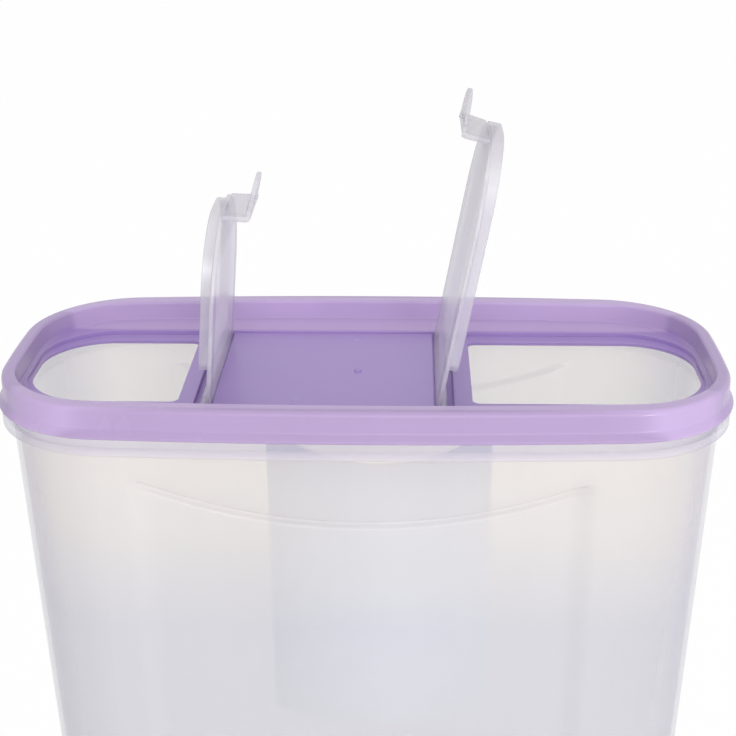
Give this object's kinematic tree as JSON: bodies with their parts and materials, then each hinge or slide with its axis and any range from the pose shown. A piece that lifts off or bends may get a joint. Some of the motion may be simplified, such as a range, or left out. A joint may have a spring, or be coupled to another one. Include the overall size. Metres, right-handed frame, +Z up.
{
  "type": "flip-spout cereal container",
  "caption": "Tall slim dry-food container with a clear drafted tub, a push-on lid and a flip flap over each of its small and large pouring openings.",
  "frame": {"origin": "centre of the base, on the surface that the foot ring stands on", "axes": "+Z up, +X along the long side towards the large flap, +Y towards the back"},
  "size_m": [0.24, 0.1116, 0.3174],
  "materials": {
    "clear_tub": "clear, slightly milky moulded polypropylene with smooth glossy faces",
    "card": "plain pale blue card, matt and unprinted",
    "lid_plastic": "opaque lavender moulded polypropylene, satin rim and glossy deck",
    "flap_plastic": "translucent milky polypropylene, faintly lavender"
  },
  "bodies": {
    "tub": {"container": "clear_tub", "insert_card": "card"},
    "lid": {"lid": "lid_plastic"},
    "small_flap": {"small_flap": "flap_plastic"},
    "large_flap": {"large_flap": "flap_plastic"}
  },
  "joints": [
    {"name": "lid_lift", "type": "slide", "parent": "tub", "child": "lid", "axis": [0, 0, 1], "range_m": [0, 0.05]},
    {"name": "small_flap_hinge", "type": "hinge", "parent": "lid", "child": "small_flap", "pos_m": [-0.0504, 0, 0.2215], "axis": [0, 1, 0], "range_deg": [-94.4, 5]},
    {"name": "large_flap_hinge", "type": "hinge", "parent": "lid", "child": "large_flap", "pos_m": [0.0251, 0, 0.2215], "axis": [0, 1, 0], "range_deg": [-20, 79.3]}
  ]
}
